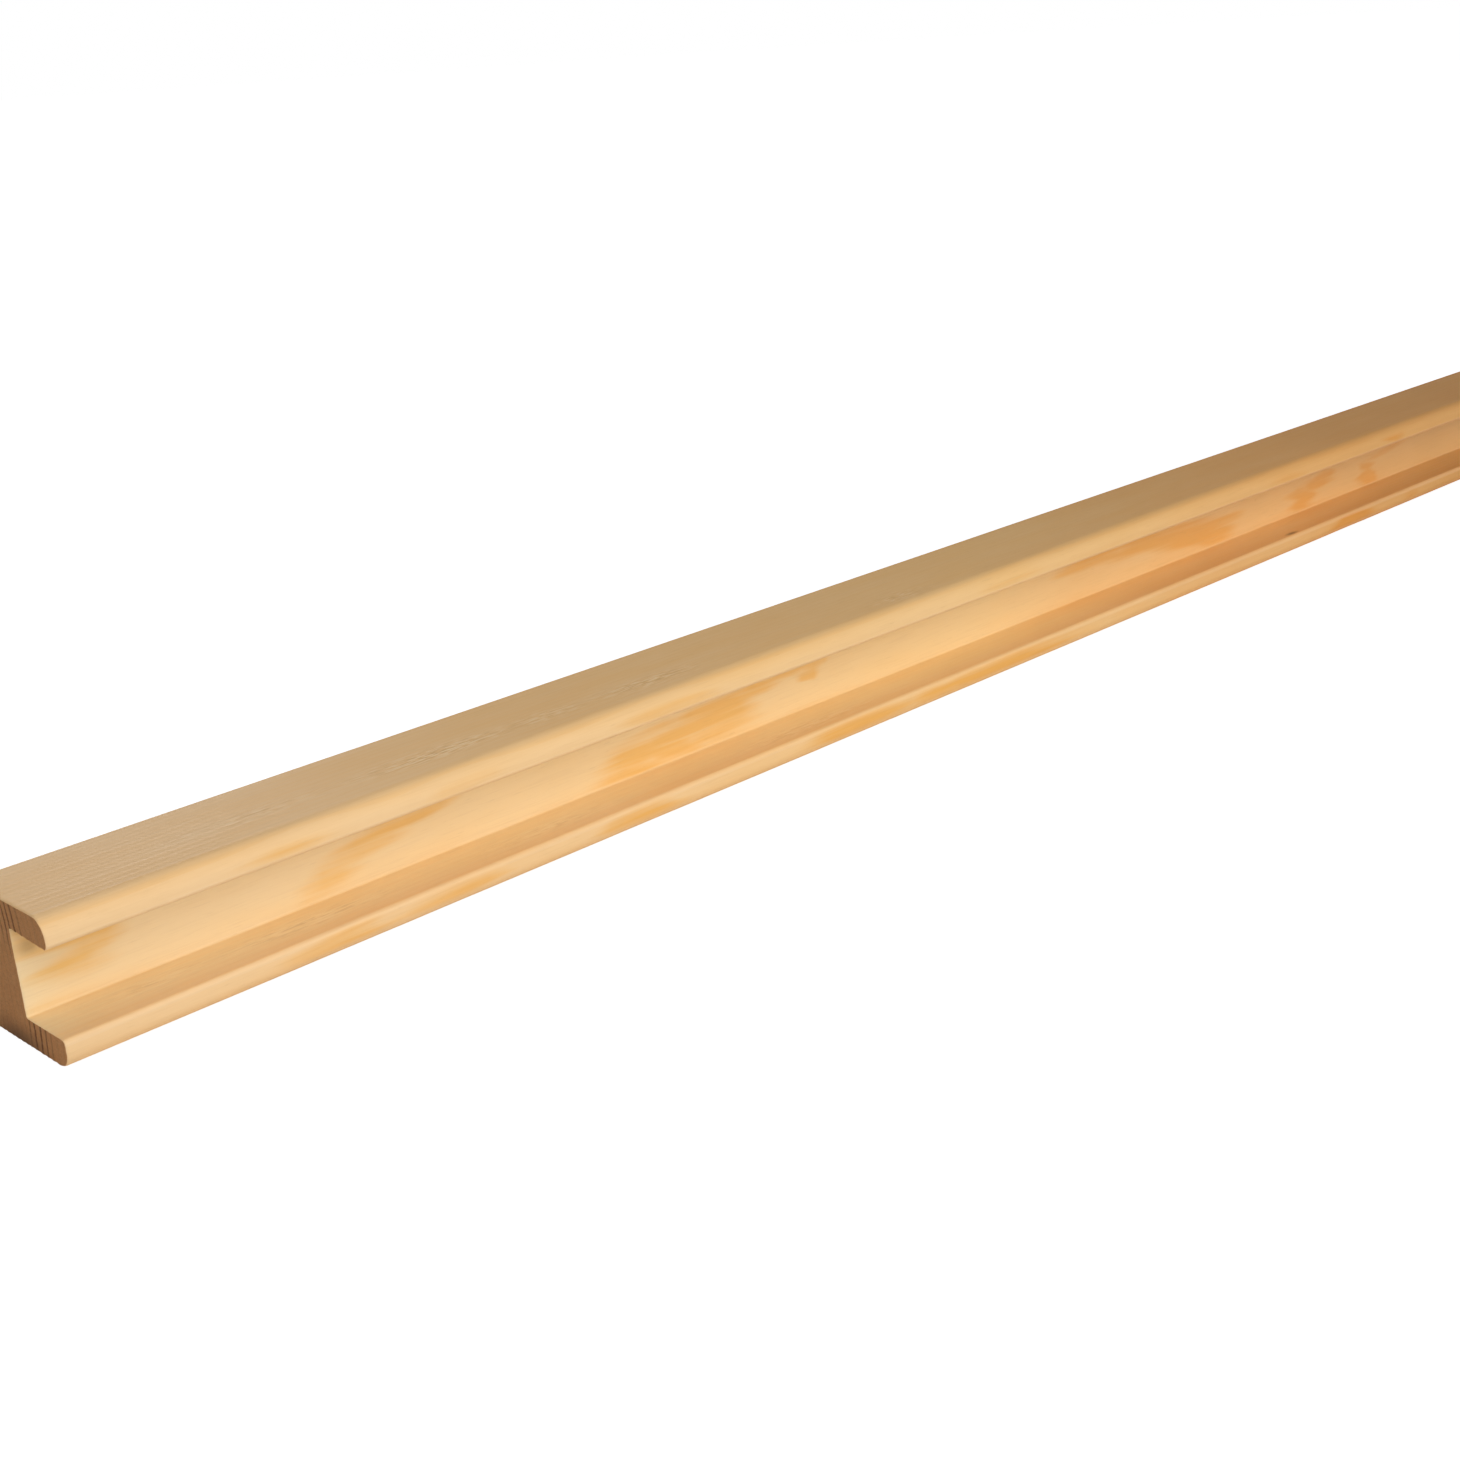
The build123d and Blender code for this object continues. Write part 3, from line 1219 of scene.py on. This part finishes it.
@dataclass
class Studio:
    """White floor, pale surround and soft lamps at a plain level."""

    floor_half: float = 30.0
    floor_drop: float = 0.05 * MM
    surround: float = 0.06
    floor_albedo: float = 0.85
    shadow_share: float = 0.5
    floor_glow: tuple[float, float] = (0.87, 1.0)
    glow_reach: tuple[float, float] = (0.55, 1.0)
    softboxes: tuple[Softbox, ...] = (
        Softbox("key", (-0.4, -0.894, 0.483), (-0.34, -0.014, 0.014), 0.92, 7.6),
        Softbox("low", (-0.15, -1.2, 0.1), (-0.2, -0.014, 0.014), 0.2, 0.7),
        Softbox("near_top", (-0.5, -0.12, 0.32), (-0.42, -0.014, 0.014), 0.35, 0.35),
        Softbox("far_top", (0.75, -0.2, 0.34), (0.62, -0.014, 0.014), 0.35, 0.2),
        Softbox("far", (0.42, -0.7, 0.7), (0.42, -0.014, 0.014), 0.2, 0.18, 40.0),
        Softbox("side", (1.15, -0.6, 0.22), (0.7, 0.0, 0.014), 0.5, 2.6),
        Softbox("back", (0.1, 1.3, 0.12), (0.0, 0.014, 0.014), 0.4, 8.3),
    )

    def build(self) -> None:
        """Sets the floor, the surround and the lamps."""
        self.lay_floor()
        self.light_surround()
        for softbox in self.softboxes:
            softbox.hang()

    def lay_floor(self) -> None:
        """Lays one large sheet of white paper, which takes the shadow and looks white elsewhere."""
        half = self.floor_half
        mesh = bpy.data.meshes.new("floor")
        rim = [(-half, -half), (half, -half), (half, half), (-half, half)]
        mesh.from_pydata([(x, y, -self.floor_drop) for x, y in rim], [], [(0, 1, 2, 3)])
        floor = bpy.data.objects.new("floor", mesh)
        bpy.context.collection.objects.link(floor)
        material, tree = empty_material("matt white paper")
        paper = add_node(tree, "BsdfDiffuse", {"Color": (self.floor_albedo,) * 3 + (1.0,)}).outputs[0]
        shaded = add_node(tree, "BsdfDiffuse", {"Color": (self.shadow_share,) * 3 + (1.0,)}).outputs[0]
        place = add_node(tree, "TexCoord").outputs["Object"]
        away = add_node(tree, "VectorMath", {0: place}, operation="LENGTH").outputs["Value"]
        (near, far), (least, most) = self.glow_reach, self.floor_glow
        level = add_node(
            tree, "MapRange",
            {"Value": away, "From Min": near, "From Max": far, "To Min": least, "To Max": most},
            interpolation_type="SMOOTHSTEP",
        ).outputs[0]
        glow = add_node(tree, "Emission", {"Strength": level}).outputs[0]
        seen = add_node(tree, "AddShader", {0: shaded, 1: glow}).outputs[0]
        surface = add_node(tree, "MixShader", {0: self.seen_rays(tree), 1: paper, 2: seen}).outputs[0]
        add_node(tree, "OutputMaterial", {"Surface": surface})
        mesh.materials.append(material)

    def light_surround(self) -> None:
        """Lights from all sides at the surround's level, and shows white behind everything."""
        world = bpy.data.worlds.new("pale surround")
        world.use_nodes = True
        tree = world.node_tree
        tree.nodes.clear()
        strength = add_node(
            tree, "MapRange", {"Value": self.seen_rays(tree), "To Min": self.surround, "To Max": 1.0}
        ).outputs[0]
        sky = add_node(tree, "Background", {"Color": (1.0, 1.0, 1.0, 1.0), "Strength": strength}).outputs[0]
        add_node(tree, "OutputWorld", {"Surface": sky})
        bpy.context.scene.world = world

    @staticmethod
    def seen_rays(tree: Tree) -> Socket:
        """Marks the rays that show the background: camera, glossy and transmission rays.

        Args:
            tree: the tree that needs the mark.

        Returns:
            A socket that is 1 for those rays and 0 for the rest.
        """
        path = add_node(tree, "LightPath").outputs
        seen = path["Is Camera Ray"]
        for ray in ("Is Glossy Ray", "Is Transmission Ray"):
            seen = add_node(tree, "Math", {0: seen, 1: path[ray]}, operation="MAXIMUM").outputs[0]
        return seen


@dataclass(frozen=True)
class PhotoCamera:
    """The photograph's viewpoint, measured from the stick's near lower front corner."""

    picture_pixels: float = 1460.0
    focal_pixels: float = 1957.6
    sensor_width: float = 36.0
    offset: tuple[float, float, float] = (-0.1240, -0.2929, 0.1575)
    yaw_deg: float = 44.21
    pitch_deg: float = 19.30
    roll_deg: float = 3.67
    clip_start: float = 0.01

    def place(self, corner: tuple[float, float, float]) -> None:
        """Stands the camera: it turns by yaw from +Y towards +X, dips by pitch, then rolls about its axis.

        Args:
            corner: the stick's near lower front corner.
        """
        yaw, pitch, roll = (math.radians(turn) for turn in (self.yaw_deg, self.pitch_deg, self.roll_deg))
        ahead = Vector((math.sin(yaw) * math.cos(pitch), math.cos(yaw) * math.cos(pitch), -math.sin(pitch)))
        level = Vector((math.cos(yaw), -math.sin(yaw), 0.0))
        down = ahead.cross(level)
        right = math.cos(roll) * level + math.sin(roll) * down
        up = math.sin(roll) * level - math.cos(roll) * down
        turn = Matrix((right, up, -ahead)).transposed().to_4x4()
        lens = bpy.data.cameras.new("photo_camera")
        lens.sensor_width = self.sensor_width
        lens.lens = self.sensor_width * self.focal_pixels / self.picture_pixels
        lens.clip_start = self.clip_start
        camera = bpy.data.objects.new("photo_camera", lens)
        camera.matrix_world = Matrix.Translation(Vector(corner) + Vector(self.offset)) @ turn
        bpy.context.collection.objects.link(camera)
        bpy.context.scene.camera = camera


def main() -> None:
    """Loads the frame, then builds the stick, the studio and the camera in order."""
    logging.basicConfig(level=logging.INFO, format="%(name)s: %(message)s")
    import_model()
    bpy.context.scene.view_settings.view_transform = "Standard"
    low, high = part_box("moulding")
    stick = GroovedMoulding(tuple(low), tuple(high))
    piece = stick.build()
    stick.dress(piece)
    LOG.info("%s has %d faces", piece.name, len(piece.data.polygons))
    Studio().build()
    LOG.info("studio is lit")
    PhotoCamera().place(tuple(low))
    stand = bpy.context.scene.camera.matrix_world.translation
    LOG.info("camera stands at %s", tuple(round(side, 3) for side in stand))


if __name__ == "__main__":
    main()
